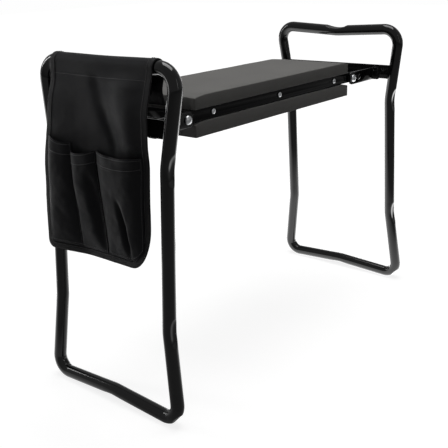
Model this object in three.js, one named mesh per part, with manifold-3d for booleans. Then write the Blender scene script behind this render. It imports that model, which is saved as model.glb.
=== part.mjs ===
// A folding garden kneeler seat: a padded board between two tube loops that fold in under it.
// Millimetres, +Z up. The origin is on the ground at the middle of the footprint, and +X runs along
// the seat. The tool pouch hangs on the -X leg. Used upside down, the lower pad is knelt on.
import * as THREE from "three";
import { mergeVertices } from "three/addons/utils/BufferGeometryUtils.js";
import Module from "manifold-3d";

const wasm = await Module();
wasm.setup();

// Driving dimensions
const gap = 0.3; // between pieces that touch
const legHeight = 488.5; // ground to the top of the hand bar's corners, before they are rounded
const tubeDiameter = 19;
const tubeWall = 1.2;
const tubeSides = 12;
const splay = Math.atan(0.068); // each leg leans out towards its foot
const legPlaneX = 292.3; // middle plane of a leg, at legPlaneHeight
const legPlaneHeight = 358.5;
const topHalfWidth = 125.8; // half widths of a loop, to the middle of its tube
const upperBendHalfWidth = 107.5;
const kneeHalfWidth = 109.5;
const footHalfWidth = 126.5;
const upperBendHeight = 354;
const kneeHeight = 135.5;
const footCornerHeight = 8.12; // middle of the foot bar's corners, before they are rounded
const handBarDip = 6.5;
const footBarRise = 6.5;
const topCornerRadius = 28;
const footCornerRadius = 22;
const softBendRadius = 70;
const drainHoleRadius = 2;

const padLength = 398.4;
const padWidth = 149.2;
const padCornerRadius = 3;
const seatTop = 429.5;
const seatPadThickness = 19;
const kneelingPadBottom = 372.5;
const kneelingPadTop = 393.2;
const railBottom = 393.5;
const railTop = 410.2;
const railFaceY = 71.2; // outer face of a side rail
const railThickness = 2.2;
const railFlangeWidth = 15;
const boardLength = 394;
const tieX = 203.5;
const tieThickness = 3;

const pivotX = 215;
const pivotHeight = 400;
const pivotHoleRadius = 4.2;
const boltRadius = 3.9;
const boltHeadRadius = 6.3;
const boltHeadHeight = 4;
const washerThickness = 1;
const washerRadius = 9;
const nutRadius = 7;
const nutThickness = 6;
const armThickness = 2.5;
const armStartX = 205.5;
const armHalfHeight = 10.5;
const armTabWidth = 10;
const crossbarX = 289.2;
const crossbarThickness = 3;
const crossbarBottom = 391.3;
const crossbarTop = 415.3;

const stopPinX = 234.5; // a pin in each arm bears up under the nose of the rail
const stopPinRadius = 3;
const noseEndX = 242;
const railEndX = 228;
const sideRivetX = [-158, 0, 158];
const sideRivetHeight = 402.3;
const sideRivetRadius = 2.1;
const sideRivetLength = 10.5;
const holeClearance = 0.3;

const pouchHalfWidth = 96;
const pouchBottom = 219.5;
const pouchCornerRadius = 22;
const clothThickness = 2;
const barClearance = 0.5; // cloth to hand bar
const flapDrop = 46;
const bindingWidth = 9;
const bindingThickness = 0.8;
const pocketBottom = 232.5;
const pocketTop = 371.5;
const pocketDepth = 12.5;
const pocketWall = 1.6;
const pocketSpans = {
  large: [-89, -1],
  middle: [1, 44.5],
  small: [46.5, 90],
};
const tapeWidth = 120;
const tapeHeight = 20;
const tapeThickness = 1;

const paint = { color: 0x0b0b0c, roughness: 0.22, metalness: 0.3 };
const zinc = { color: 0xb9bcc0, roughness: 0.3, metalness: 0.9 };
const steel = { color: 0x85888c, roughness: 0.4, metalness: 0.9 };
const foam = { color: 0x3a3a3b, roughness: 0.9, metalness: 0 };
const nylon = { color: 0x141417, roughness: 0.8, metalness: 0 };
const plastic = { color: 0x1c1c1e, roughness: 0.5, metalness: 0 };
const plywood = { color: 0x6b5238, roughness: 0.8, metalness: 0 };

const kneeler = new THREE.Group();

function addPiece(name, geometry, finish, parent = kneeler) {
  const mesh = new THREE.Mesh(geometry, new THREE.MeshStandardMaterial(finish));
  mesh.name = name;
  parent.add(mesh);
  return mesh;
}

// Solids for joining and cutting
function solidFrom(geometry) {
  const bare = geometry.clone();
  bare.deleteAttribute("normal");
  bare.deleteAttribute("uv");
  const merged = mergeVertices(bare, 1e-4);
  return new wasm.Manifold(
    new wasm.Mesh({
      numProp: 3,
      vertProperties: new Float32Array(merged.attributes.position.array),
      triVerts: new Uint32Array(merged.index.array),
    }),
  );
}

function geometryFrom(solid) {
  const mesh = solid.getMesh();
  const geometry = new THREE.BufferGeometry();
  geometry.setAttribute("position", new THREE.BufferAttribute(mesh.vertProperties, 3));
  geometry.setIndex(new THREE.BufferAttribute(mesh.triVerts, 1));
  geometry.computeVertexNormals();
  return geometry;
}

function cutAway(body, cutters) {
  return cutters.reduce((left, cutter) => left.subtract(solidFrom(cutter)), body);
}

// Basic shapes
function box(low, high) {
  const size = high.map((value, i) => value - low[i]);
  const middle = high.map((value, i) => (value + low[i]) / 2);
  return new THREE.BoxGeometry(...size).translate(...middle);
}

function polygon(points) {
  return new THREE.Shape(points.map(([x, y]) => new THREE.Vector2(x, y)));
}

function roundedRectangle(halfLength, halfWidth, radius) {
  const shape = new THREE.Shape();
  shape.moveTo(-halfLength + radius, -halfWidth);
  shape.lineTo(halfLength - radius, -halfWidth);
  shape.absarc(halfLength - radius, -halfWidth + radius, radius, -Math.PI / 2, 0);
  shape.absarc(halfLength - radius, halfWidth - radius, radius, 0, Math.PI / 2);
  shape.absarc(-halfLength + radius, halfWidth - radius, radius, Math.PI / 2, Math.PI);
  shape.absarc(-halfLength + radius, -halfWidth + radius, radius, Math.PI, 1.5 * Math.PI);
  return shape;
}

// An outline drawn in X and Z, as a plate between two Y values
function plateAlongY(shape, yLow, yHigh) {
  const settings = { depth: yHigh - yLow, bevelEnabled: false, curveSegments: 3 };
  const geometry = new THREE.ExtrudeGeometry(shape, settings);
  return geometry.rotateX(Math.PI / 2).translate(0, yHigh, 0);
}

// An outline drawn in Y and Z, as a plate between two X values
function plateAlongX(shape, xLow, xHigh) {
  const settings = { depth: xHigh - xLow, bevelEnabled: false, curveSegments: 3 };
  const geometry = new THREE.ExtrudeGeometry(shape, settings);
  return geometry.rotateZ(Math.PI / 2).rotateY(Math.PI / 2).translate(xLow, 0, 0);
}

function rodAlongY(radius, yLow, yHigh, x, z, sides = 16) {
  const geometry = new THREE.CylinderGeometry(radius, radius, yHigh - yLow, sides);
  return geometry.translate(x, (yLow + yHigh) / 2, z);
}

// A profile of [radius, distance] pairs turned about Y, measured outwards from the seat's middle
function turnedAlongY(profile, side, x, z, sides = 16) {
  const points = profile.map(([radius, distance]) => new THREE.Vector2(radius, distance));
  const geometry = new THREE.LatheGeometry(points, sides);
  if (side < 0) geometry.rotateX(Math.PI);
  return geometry.translate(x, 0, z);
}

// A path through given stations, so that a swept tube has a ring exactly at each one
class StationPath extends THREE.Curve {
  constructor(stations) {
    super();
    this.stations = stations;
  }
  getPoint(t, target = new THREE.Vector3()) {
    const place = t * (this.stations.length - 1);
    const index = Math.min(Math.floor(place), this.stations.length - 2);
    return target.lerpVectors(this.stations[index], this.stations[index + 1], place - index);
  }
  getPointAt(u, target) {
    return this.getPoint(u, target);
  }
  getTangentAt(u, target = new THREE.Vector3()) {
    const index = Math.round(u * (this.stations.length - 1));
    const before = this.stations[Math.max(index - 1, 0)];
    const here = this.stations[index];
    const after = this.stations[Math.min(index + 1, this.stations.length - 1)];
    const arriving = here.clone().sub(before).normalize();
    const leaving = after.clone().sub(here).normalize();
    return target.addVectors(arriving, leaving).normalize();
  }
}

// The corner at b of the line a, b, c, rounded with an arc of the given radius
function filletStations(a, b, c, radius, steps) {
  const toA = a.clone().sub(b).normalize();
  const toC = c.clone().sub(b).normalize();
  const halfAngle = toA.angleTo(toC) / 2;
  const bisector = toA.clone().add(toC).normalize();
  const centre = b.clone().addScaledVector(bisector, radius / Math.sin(halfAngle));
  const tangentLength = radius / Math.tan(halfAngle);
  const start = b.clone().addScaledVector(toA, tangentLength).sub(centre);
  const end = b.clone().addScaledVector(toC, tangentLength).sub(centre);
  const sweep = start.angleTo(end);
  const axis = start.clone().cross(end).normalize();
  return Array.from({ length: steps + 1 }, (_, i) =>
    start.clone().applyAxisAngle(axis, (sweep * i) / steps).add(centre),
  );
}

// One leg: the loop is drawn in its own plane, with the foot bar's corners at height 0
const alongLeg = (height) => (height - footCornerHeight) / Math.cos(splay);
const legRun = alongLeg(legHeight - tubeDiameter / 2);
const legXAt = (height) => legPlaneX + Math.tan(splay) * (legPlaneHeight - height);

function halfLoopStations(side) {
  const point = (y, z) => new THREE.Vector3(0, side * y, z);
  const handMiddle = point(0, legRun - handBarDip);
  const handCorner = point(topHalfWidth, legRun);
  const upperBend = point(upperBendHalfWidth, alongLeg(upperBendHeight));
  const knee = point(kneeHalfWidth, alongLeg(kneeHeight));
  const footCorner = point(footHalfWidth, 0);
  const footMiddle = point(0, footBarRise);
  return [
    handMiddle,
    ...filletStations(handMiddle, handCorner, upperBend, topCornerRadius, 5),
    ...filletStations(handCorner, upperBend, knee, softBendRadius, 2),
    ...filletStations(upperBend, knee, footCorner, softBendRadius, 2),
    ...filletStations(knee, footCorner, footMiddle, footCornerRadius, 5),
    footMiddle,
  ];
}

function sweptHalf(side, radius) {
  const stations = halfLoopStations(side);
  // each half runs a little past the middle, so that the two join there
  stations[0].y -= side * 0.5;
  stations[stations.length - 1].y -= side * 0.5;
  const section = new THREE.Shape();
  section.absarc(0, 0, radius, 0, 2 * Math.PI);
  return new THREE.ExtrudeGeometry(section, {
    steps: stations.length - 1,
    extrudePath: new StationPath(stations),
    curveSegments: tubeSides / 2, // an arc takes two sides for each segment
    bevelEnabled: false,
  });
}

function loopSolid(radius) {
  return solidFrom(sweptHalf(1, radius)).add(solidFrom(sweptHalf(-1, radius)));
}

function legLoopGeometry() {
  const drain = new THREE.CylinderGeometry(drainHoleRadius, drainHoleRadius, tubeDiameter, 8);
  drain.rotateX(Math.PI / 2).translate(0, 0, footBarRise - tubeDiameter / 2);
  const outer = loopSolid(tubeDiameter / 2);
  const bore = loopSolid(tubeDiameter / 2 - tubeWall);
  return geometryFrom(outer.subtract(bore).subtract(solidFrom(drain)));
}

// Outer edge of the tube's inner side at a height, where the crossbar ends
function uprightInnerY(height) {
  const share = (height - upperBendHeight) / (legHeight - tubeDiameter / 2 - upperBendHeight);
  const middleY = upperBendHalfWidth + share * (topHalfWidth - upperBendHalfWidth);
  return middleY - tubeDiameter / 2 - gap;
}

function crossbarGeometry() {
  const low = uprightInnerY(crossbarBottom);
  const high = uprightInnerY(crossbarTop);
  const outline = polygon([
    [-low, crossbarBottom],
    [low, crossbarBottom],
    [high, crossbarTop],
    [-high, crossbarTop],
  ]);
  return plateAlongX(outline, -crossbarThickness / 2, crossbarThickness / 2);
}

// Distances from the seat's middle along Y, from the rail out to the bolt head
const railInnerY = railFaceY - railThickness;
const armInnerY = railFaceY + washerThickness + 2 * gap;
const armOuterY = armInnerY + armThickness;
const nutInnerY = railInnerY - gap - nutThickness;

function armGeometry(end, side) {
  const tabFace = crossbarX - crossbarThickness / 2 - gap;
  const radius = 6;
  const low = pivotHeight - armHalfHeight;
  const high = pivotHeight + armHalfHeight;
  const outline = new THREE.Shape();
  outline.moveTo(tabFace, low);
  outline.lineTo(tabFace, high);
  outline.lineTo(armStartX + radius, high);
  outline.absarc(armStartX + radius, high - radius, radius, Math.PI / 2, Math.PI);
  outline.absarc(armStartX + radius, low + radius, radius, Math.PI, 1.5 * Math.PI);
  const web = solidFrom(plateAlongY(outline, armInnerY, armOuterY));
  const tab = box(
    [tabFace - armThickness, armInnerY + 0.5, low],
    [tabFace, armOuterY + armTabWidth, high],
  );
  const cutters = [
    rodAlongY(pivotHoleRadius, armInnerY - 1, armOuterY + 1, pivotX, pivotHeight),
    rodAlongY(stopPinRadius + holeClearance, armInnerY - 1, armOuterY + 1, stopPinX, pivotHeight),
  ];
  return placed(cutAway(web.add(solidFrom(tab)), cutters), end, side);
}

// Pieces are drawn at the +X end on the +Y side, and mirrored to the other corners
function placed(solid, end, side) {
  return geometryFrom(solid.transform([end, 0, 0, 0, 0, side, 0, 0, 0, 0, 1, 0, 0, 0, 0, 1]));
}

function railGeometry(side) {
  const noseBottom = pivotHeight + stopPinRadius + gap;
  const webOutline = polygon([
    [-railEndX, railBottom],
    [railEndX, railBottom],
    [railEndX, noseBottom],
    [noseEndX, noseBottom],
    [noseEndX, railTop],
    [-noseEndX, railTop],
    [-noseEndX, noseBottom],
    [-railEndX, noseBottom],
  ]);
  const web = solidFrom(plateAlongY(webOutline, railInnerY, railFaceY));
  const flange = box(
    [-boardLength / 2, railInnerY - railFlangeWidth, railBottom],
    [boardLength / 2, railInnerY + 0.5, railBottom + railThickness],
  );
  const holes = [
    ...[-pivotX, pivotX].map((x) => ({ x, z: pivotHeight, radius: pivotHoleRadius })),
    ...sideRivetX.map((x) => ({
      x,
      z: sideRivetHeight,
      radius: sideRivetRadius + holeClearance,
    })),
  ];
  const cutters = holes.map(({ x, z, radius }) =>
    rodAlongY(radius, railInnerY - 1, railFaceY + 1, x, z),
  );
  return placed(cutAway(web.add(solidFrom(flange)), cutters), 1, side);
}

function boardGeometry() {
  const halfWidth = railInnerY - gap;
  const board = solidFrom(
    box(
      [-boardLength / 2, -halfWidth, railBottom + railThickness + gap],
      [boardLength / 2, halfWidth, railTop],
    ),
  );
  const holeStart = railFaceY - sideRivetLength - 1;
  const cutters = [-1, 1].flatMap((side) =>
    sideRivetX.map((x) => {
      const ends = [side * holeStart, side * (halfWidth + 1)].sort((a, b) => a - b);
      return rodAlongY(sideRivetRadius + holeClearance, ...ends, x, sideRivetHeight, 12);
    }),
  );
  return geometryFrom(cutAway(board, cutters));
}

function padGeometry(bottom, top) {
  const outline = roundedRectangle(padLength / 2, padWidth / 2, padCornerRadius);
  const settings = { depth: top - bottom, bevelEnabled: false, curveSegments: 2 };
  return new THREE.ExtrudeGeometry(outline, settings).translate(0, 0, bottom);
}

// Fasteners, as profiles from the inner end to the outer end
const domedHead = (radius, height, start) => [
  [radius, start],
  [radius, start + 0.35 * height],
  [radius * 0.8, start + 0.78 * height],
  [radius * 0.4, start + 0.96 * height],
  [0, start + height],
];

const sideRivetProfile = [
  [0, railFaceY - sideRivetLength],
  [sideRivetRadius, railFaceY - sideRivetLength],
  [sideRivetRadius, railFaceY + gap],
  ...domedHead(4.2, 2.2, railFaceY + gap),
];
const boltProfile = [
  [0, nutInnerY - 2],
  [boltRadius, nutInnerY - 2],
  [boltRadius, armOuterY + gap],
  ...domedHead(boltHeadRadius, boltHeadHeight, armOuterY + gap),
];
const stopPinProfile = [
  [0, railInnerY - 1],
  [stopPinRadius, railInnerY - 1],
  [stopPinRadius, armOuterY + gap],
  ...domedHead(4.4, 1.8, armOuterY + gap),
];

function nutGeometry(end, side) {
  const hexagon = new THREE.Shape();
  hexagon.absarc(end * pivotX, pivotHeight, nutRadius, 0, 2 * Math.PI);
  const blank = hexagon.getPoints(3).slice(0, 6);
  const ends = [side * nutInnerY, side * (nutInnerY + nutThickness)].sort((a, b) => a - b);
  const body = solidFrom(plateAlongY(new THREE.Shape(blank), ...ends));
  const bore = rodAlongY(pivotHoleRadius, ends[0] - 1, ends[1] + 1, end * pivotX, pivotHeight);
  return geometryFrom(cutAway(body, [bore]));
}

function ringProfile(inner, outer, start, end) {
  return [
    [inner, start],
    [outer, start],
    [outer, end],
    [inner, end],
    [inner, start],
  ];
}

// Seat
addPiece("seat_pad", padGeometry(seatTop - seatPadThickness, seatTop), foam);
addPiece("kneeling_pad", padGeometry(kneelingPadBottom, kneelingPadTop), foam);
addPiece("seat_board", boardGeometry(), plywood);
for (const [sideName, side] of [["front", -1], ["rear", 1]]) {
  addPiece(`side_rail_${sideName}`, railGeometry(side), paint);
  sideRivetX.forEach((x, i) => {
    const geometry = turnedAlongY(sideRivetProfile, side, x, sideRivetHeight, 12);
    addPiece(`side_rivet_${sideName}_${i + 1}`, geometry, zinc);
  });
}
for (const [endName, end] of [["left", -1], ["right", 1]]) {
  const half = railInnerY - gap;
  const near = end * tieX - tieThickness / 2;
  const tie = box(
    [near, -half, railBottom + 1],
    [near + tieThickness, half, railTop - 1],
  );
  addPiece(`end_tie_${endName}`, tie, paint);
}

// Hinges and legs
const loopGeometry = legLoopGeometry();
const legs = {};
for (const [endName, end] of [["left", -1], ["right", 1]]) {
  for (const [sideName, side] of [["front", -1], ["rear", 1]]) {
    const corner = `${endName}_${sideName}`;
    const x = end * pivotX;
    const washer = ringProfile(
      pivotHoleRadius,
      washerRadius,
      railFaceY + gap,
      railFaceY + gap + washerThickness,
    );
    addPiece(`hinge_arm_${corner}`, armGeometry(end, side), paint);
    addPiece(`pivot_bolt_${corner}`, turnedAlongY(boltProfile, side, x, pivotHeight), zinc);
    addPiece(`pivot_washer_${corner}`, turnedAlongY(washer, side, x, pivotHeight, 20), plastic);
    addPiece(`lock_nut_${corner}`, nutGeometry(end, side), steel);
    const pin = turnedAlongY(stopPinProfile, side, end * stopPinX, pivotHeight, 12);
    addPiece(`stop_pin_${corner}`, pin, paint);
  }
  const crossbar = addPiece(`crossbar_${endName}`, crossbarGeometry(), paint);
  crossbar.position.x = end * crossbarX;

  const leg = new THREE.Group();
  leg.position.set(end * legXAt(footCornerHeight), 0, footCornerHeight);
  leg.rotation.y = -end * splay;
  kneeler.add(leg);
  legs[endName] = leg;
  addPiece(`leg_loop_${endName}`, loopGeometry.clone(), paint, leg);
}

// Tool pouch, drawn in the left leg's own plane: -X is the outer side, Z runs up the leg
const pouch = legs.left;
const sleeveRadius = tubeDiameter / 2 + barClearance;
const panelOuterX = -sleeveRadius - clothThickness;

function panelGeometry() {
  const outer = sleeveRadius + clothThickness;
  const low = alongLeg(pouchBottom);
  const flapLow = legRun - flapDrop;
  const outline = new THREE.Shape();
  outline.moveTo(-outer, low);
  outline.lineTo(-outer, legRun);
  outline.absarc(0, legRun, outer, Math.PI, 0, true);
  outline.lineTo(outer, flapLow);
  outline.lineTo(sleeveRadius, flapLow);
  outline.lineTo(sleeveRadius, legRun);
  outline.absarc(0, legRun, sleeveRadius, 0, Math.PI);
  outline.lineTo(-sleeveRadius, low);
  const settings = {
    depth: 2 * pouchHalfWidth,
    bevelEnabled: false,
    curveSegments: 6,
  };
  const strip = new THREE.ExtrudeGeometry(outline, settings);
  strip.rotateX(Math.PI / 2).translate(0, pouchHalfWidth, 0);
  return geometryFrom(cutAway(solidFrom(strip), [-1, 1].map(cornerCutter)));
}

// What rounds a lower corner of the panel off
function cornerCutter(side) {
  const low = alongLeg(pouchBottom);
  const radius = pouchCornerRadius;
  const cutter = new THREE.Shape();
  const centreY = side * (pouchHalfWidth - radius);
  cutter.moveTo(centreY, low - 1);
  cutter.lineTo(side * (pouchHalfWidth + 1), low - 1);
  cutter.lineTo(side * (pouchHalfWidth + 1), low + radius);
  cutter.lineTo(side * pouchHalfWidth, low + radius);
  const from = side > 0 ? 0 : Math.PI;
  cutter.absarc(centreY, low + radius, radius, from, -Math.PI / 2, side > 0);
  return plateAlongX(cutter, panelOuterX - 1, panelOuterX + clothThickness + 1);
}

// The pouch's outline, open at the top, drawn at a distance in from its edge
function edgeOutline(inset) {
  const low = alongLeg(pouchBottom) + inset;
  const half = pouchHalfWidth - inset;
  const radius = pouchCornerRadius - inset;
  return { low, half, radius };
}

function bindingGeometry() {
  const outer = edgeOutline(0);
  const inner = edgeOutline(bindingWidth);
  const shape = new THREE.Shape();
  shape.moveTo(outer.half, legRun);
  shape.lineTo(inner.half, legRun);
  shape.lineTo(inner.half, inner.low + inner.radius);
  shape.absarc(inner.half - inner.radius, inner.low + inner.radius, inner.radius, 0, -Math.PI / 2, true);
  shape.lineTo(-inner.half + inner.radius, inner.low);
  shape.absarc(
    -inner.half + inner.radius,
    inner.low + inner.radius,
    inner.radius,
    -Math.PI / 2,
    -Math.PI,
    true,
  );
  shape.lineTo(-inner.half, legRun);
  shape.lineTo(-outer.half, legRun);
  shape.lineTo(-outer.half, outer.low + outer.radius);
  shape.absarc(-outer.half + outer.radius, outer.low + outer.radius, outer.radius, Math.PI, 1.5 * Math.PI);
  shape.lineTo(outer.half - outer.radius, outer.low);
  shape.absarc(outer.half - outer.radius, outer.low + outer.radius, outer.radius, -Math.PI / 2, 0);
  const face = panelOuterX - gap;
  return plateAlongX(shape, face - bindingThickness, face);
}

function pocketGeometry([yLow, yHigh]) {
  const backX = panelOuterX - gap - bindingThickness - gap;
  const frontX = panelOuterX - pocketDepth;
  const low = alongLeg(pocketBottom);
  const high = alongLeg(pocketTop);
  const shell = solidFrom(box([frontX, yLow, low], [backX, yHigh, high]));
  const inside = box(
    [frontX + pocketWall, yLow + pocketWall, low + pocketWall],
    [backX + 1, yHigh - pocketWall, high + 1],
  );
  return geometryFrom(cutAway(shell, [inside]));
}

function tapeGeometry(xLow, xHigh) {
  const high = legRun - tubeDiameter / 2 - 8;
  return box([xLow, -tapeWidth / 2, high - tapeHeight], [xHigh, tapeWidth / 2, high]);
}

addPiece("pouch_panel", panelGeometry(), nylon, pouch);
addPiece("pouch_binding", bindingGeometry(), nylon, pouch);
for (const [name, span] of Object.entries(pocketSpans)) {
  addPiece(`pouch_pocket_${name}`, pocketGeometry(span), nylon, pouch);
}
const hookX = sleeveRadius - gap;
addPiece("pouch_hook_tape", tapeGeometry(hookX - tapeThickness, hookX), nylon, pouch);
addPiece("pouch_loop_tape", tapeGeometry(-hookX, -hookX + tapeThickness), nylon, pouch);

export default kneeler;
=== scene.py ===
import math

import bmesh
import bpy
from mathutils import Matrix, Vector, noise


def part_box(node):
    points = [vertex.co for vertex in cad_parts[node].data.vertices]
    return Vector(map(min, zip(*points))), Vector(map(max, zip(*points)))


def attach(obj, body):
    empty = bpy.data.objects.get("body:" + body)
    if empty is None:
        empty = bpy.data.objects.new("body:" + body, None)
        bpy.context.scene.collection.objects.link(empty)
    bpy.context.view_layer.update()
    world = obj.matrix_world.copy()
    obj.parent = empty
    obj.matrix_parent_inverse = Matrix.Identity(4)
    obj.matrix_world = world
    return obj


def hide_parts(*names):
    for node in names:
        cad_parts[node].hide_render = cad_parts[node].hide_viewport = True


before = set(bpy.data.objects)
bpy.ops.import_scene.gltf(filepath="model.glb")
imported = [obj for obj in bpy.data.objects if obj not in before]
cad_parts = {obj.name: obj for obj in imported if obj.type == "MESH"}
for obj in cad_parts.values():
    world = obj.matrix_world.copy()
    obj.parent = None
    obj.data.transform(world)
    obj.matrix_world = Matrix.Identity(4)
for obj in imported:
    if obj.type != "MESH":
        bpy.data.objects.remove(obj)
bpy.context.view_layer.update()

print("frame loaded:", len(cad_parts), "nodes")

mm = 0.001
scene = bpy.context.scene
ends = {"left": -1, "right": 1}
sides = {"front": -1, "rear": 1}


# Mesh helpers

def newObject(name, verts, faces):
    mesh = bpy.data.meshes.new(name)
    mesh.from_pydata([tuple(v) for v in verts], [], faces)
    mesh.validate()
    mesh.polygons.foreach_set("use_smooth", [True] * len(mesh.polygons))
    obj = bpy.data.objects.new(name, mesh)
    scene.collection.objects.link(obj)
    return obj


def paint(obj, material):
    obj.data.materials.clear()
    obj.data.materials.append(material)
    return obj


def turnOutwards(obj):
    work = bmesh.new()
    work.from_mesh(obj.data)
    bmesh.ops.remove_doubles(work, verts=work.verts, dist=1e-6)
    bmesh.ops.recalc_face_normals(work, faces=work.faces)
    work.to_mesh(obj.data)
    work.free()
    return obj


def sharpen(obj, degrees=35):
    obj.data.polygons.foreach_set("use_smooth", [True] * len(obj.data.polygons))
    obj.data.set_sharp_from_angle(angle=math.radians(degrees))
    return obj


def gridFaces(rows, columns, closeRows=False, closeColumns=False):
    faces = []
    for i in range(rows if closeRows else rows - 1):
        for j in range(columns if closeColumns else columns - 1):
            k, m = (i + 1) % rows, (j + 1) % columns
            faces.append((i * columns + j, i * columns + m, k * columns + m, k * columns + j))
    return faces


def smoothStep(low, high, value):
    t = min(max((value - low) / (high - low), 0.0), 1.0)
    return t * t * (3 - 2 * t)


def bell(value, width):
    return math.exp(-((value / width) ** 2))


def ripple(y, z, size, seed):
    return noise.noise(Vector((y / size, z / size, seed)))


def applyModifiers(obj):
    graph = bpy.context.evaluated_depsgraph_get()
    mesh = bpy.data.meshes.new_from_object(obj.evaluated_get(graph))
    obj.modifiers.clear()
    obj.data = mesh
    return obj


def settle(piece, body, nodes=()):
    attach(piece, body)
    if nodes:
        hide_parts(*nodes)
    return piece


# a CAD plate or block with its edges rounded, in place of the node it is copied from
def roundedCopy(node, name, body, material, radius):
    obj = newObject(name, [v.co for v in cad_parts[node].data.vertices],
                    [tuple(p.vertices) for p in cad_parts[node].data.polygons])
    work = bmesh.new()
    work.from_mesh(obj.data)
    bmesh.ops.remove_doubles(work, verts=work.verts, dist=2e-5)
    bmesh.ops.dissolve_limit(work, angle_limit=math.radians(2), verts=work.verts, edges=work.edges)
    work.to_mesh(obj.data)
    work.free()
    bevel = obj.modifiers.new("rounded edges", "BEVEL")
    bevel.width = radius
    bevel.segments = 3
    bevel.limit_method = "ANGLE"
    bevel.angle_limit = math.radians(40)
    bevel.miter_outer = "MITER_ARC"
    applyModifiers(obj)
    sharpen(obj, 50)
    paint(obj, material)
    return settle(obj, body, [node])


# Shader groups shared by several materials

def nodeGroup(name, inputs, outputs):
    group = bpy.data.node_groups.new(name, "ShaderNodeTree")
    for label, value in inputs.items():
        socket = group.interface.new_socket(label, in_out="INPUT", socket_type="NodeSocketFloat")
        socket.default_value = value
    for label, kind in outputs.items():
        group.interface.new_socket(label, in_out="OUTPUT", socket_type=kind)
    start = group.nodes.new("NodeGroupInput")
    finish = group.nodes.new("NodeGroupOutput")
    return group, start, finish


def addNode(tree, kind, settings=None, **values):
    node = tree.nodes.new(kind)
    for key, value in (settings or {}).items():
        setattr(node, key, value)
    for key, value in values.items():
        node.inputs[key].default_value = value
    return node


def mathNode(tree, operation, a, b=None):
    node = tree.nodes.new("ShaderNodeMath")
    node.operation = operation
    for socket, value in ((node.inputs[0], a), (node.inputs[1], b)):
        if value is None:
            continue
        if isinstance(value, (int, float)):
            socket.default_value = value
        else:
            tree.links.new(value, socket)
    return node.outputs[0]


def noiseNode(tree, place, scale, detail=4.0, rough=0.55):
    node = addNode(tree, "ShaderNodeTexNoise", Detail=detail, Roughness=rough)
    tree.links.new(place, node.inputs["Vector"])
    if isinstance(scale, (int, float)):
        node.inputs["Scale"].default_value = scale
    else:
        tree.links.new(scale, node.inputs["Scale"])
    return node.outputs["Fac"]


# grain: fine and broad unevenness of a moulded, sprayed or cut surface
def buildGrainGroup():
    group, start, finish = nodeGroup(
        "surfaceGrain", {"Fine Scale": 900.0, "Broad Scale": 30.0, "Fine Share": 0.6},
        {"Height": "NodeSocketFloat", "Broad": "NodeSocketFloat", "Fine": "NodeSocketFloat"})
    place = addNode(group, "ShaderNodeTexCoord").outputs["Object"]
    fine = noiseNode(group, place, start.outputs["Fine Scale"], 3.0, 0.6)
    broad = noiseNode(group, place, start.outputs["Broad Scale"], 4.0, 0.55)
    rest = mathNode(group, "SUBTRACT", 1.0, start.outputs["Fine Share"])
    height = mathNode(group, "ADD", mathNode(group, "MULTIPLY", fine, start.outputs["Fine Share"]),
                      mathNode(group, "MULTIPLY", broad, rest))
    group.links.new(height, finish.inputs["Height"])
    group.links.new(broad, finish.inputs["Broad"])
    group.links.new(fine, finish.inputs["Fine"])
    return group


# weave: crossing threads of woven cloth or tape, over and under by turns
def buildWeaveGroup():
    group, start, finish = nodeGroup(
        "threadWeave", {"Across": 900.0, "Along": 900.0, "Slub": 0.3},
        {"Height": "NodeSocketFloat", "Shade": "NodeSocketFloat"})
    place = addNode(group, "ShaderNodeTexCoord").outputs["Object"]
    split = addNode(group, "ShaderNodeSeparateXYZ")
    group.links.new(place, split.inputs[0])
    threadsAcross = mathNode(group, "MULTIPLY", split.outputs["Y"], start.outputs["Across"])
    threadsAlong = mathNode(group, "MULTIPLY", split.outputs["Z"], start.outputs["Along"])
    crossing = mathNode(group, "MULTIPLY", mathNode(group, "SINE", threadsAcross),
                        mathNode(group, "SINE", threadsAlong))
    slub = mathNode(group, "MULTIPLY", noiseNode(group, place, 160.0, 5.0, 0.65), start.outputs["Slub"])
    height = mathNode(group, "ADD", mathNode(group, "MULTIPLY", crossing, 0.5), slub)
    group.links.new(height, finish.inputs["Height"])
    group.links.new(noiseNode(group, place, 22.0, 5.0, 0.6), finish.inputs["Shade"])
    return group


# wear: lighter rubbed edges and a little settled dust
def buildWearGroup():
    group, start, finish = nodeGroup(
        "edgeWear", {"Edge Amount": 0.5, "Dust Amount": 0.2},
        {"Edge": "NodeSocketFloat", "Dust": "NodeSocketFloat"})
    geometry = addNode(group, "ShaderNodeNewGeometry")
    place = addNode(group, "ShaderNodeTexCoord").outputs["Object"]
    bumpy = mathNode(group, "SUBTRACT", geometry.outputs["Pointiness"], 0.515)
    edge = mathNode(group, "MULTIPLY", mathNode(group, "MAXIMUM", bumpy, 0.0), 14.0)
    patchy = noiseNode(group, place, 140.0, 5.0, 0.7)
    rubbed = mathNode(group, "MULTIPLY", edge, patchy)
    worn = mathNode(group, "MULTIPLY", rubbed, start.outputs["Edge Amount"])
    group.links.new(mathNode(group, "MINIMUM", worn, 1.0), finish.inputs["Edge"])
    split = addNode(group, "ShaderNodeSeparateXYZ")
    group.links.new(geometry.outputs["Normal"], split.inputs[0])
    facingUp = mathNode(group, "MAXIMUM", split.outputs["Z"], 0.0)
    speck = mathNode(group, "POWER", noiseNode(group, place, 60.0, 6.0, 0.7), 2.0)
    settled = mathNode(group, "MULTIPLY", facingUp, speck)
    dust = mathNode(group, "MULTIPLY", settled, start.outputs["Dust Amount"])
    group.links.new(dust, finish.inputs["Dust"])
    return group


grainGroup = buildGrainGroup()
weaveGroup = buildWeaveGroup()
wearGroup = buildWearGroup()


def placeGroup(tree, group, **values):
    node = tree.nodes.new("ShaderNodeGroup")
    node.node_tree = group
    for key, value in values.items():
        node.inputs[key.replace("_", " ")].default_value = value
    return node


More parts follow.
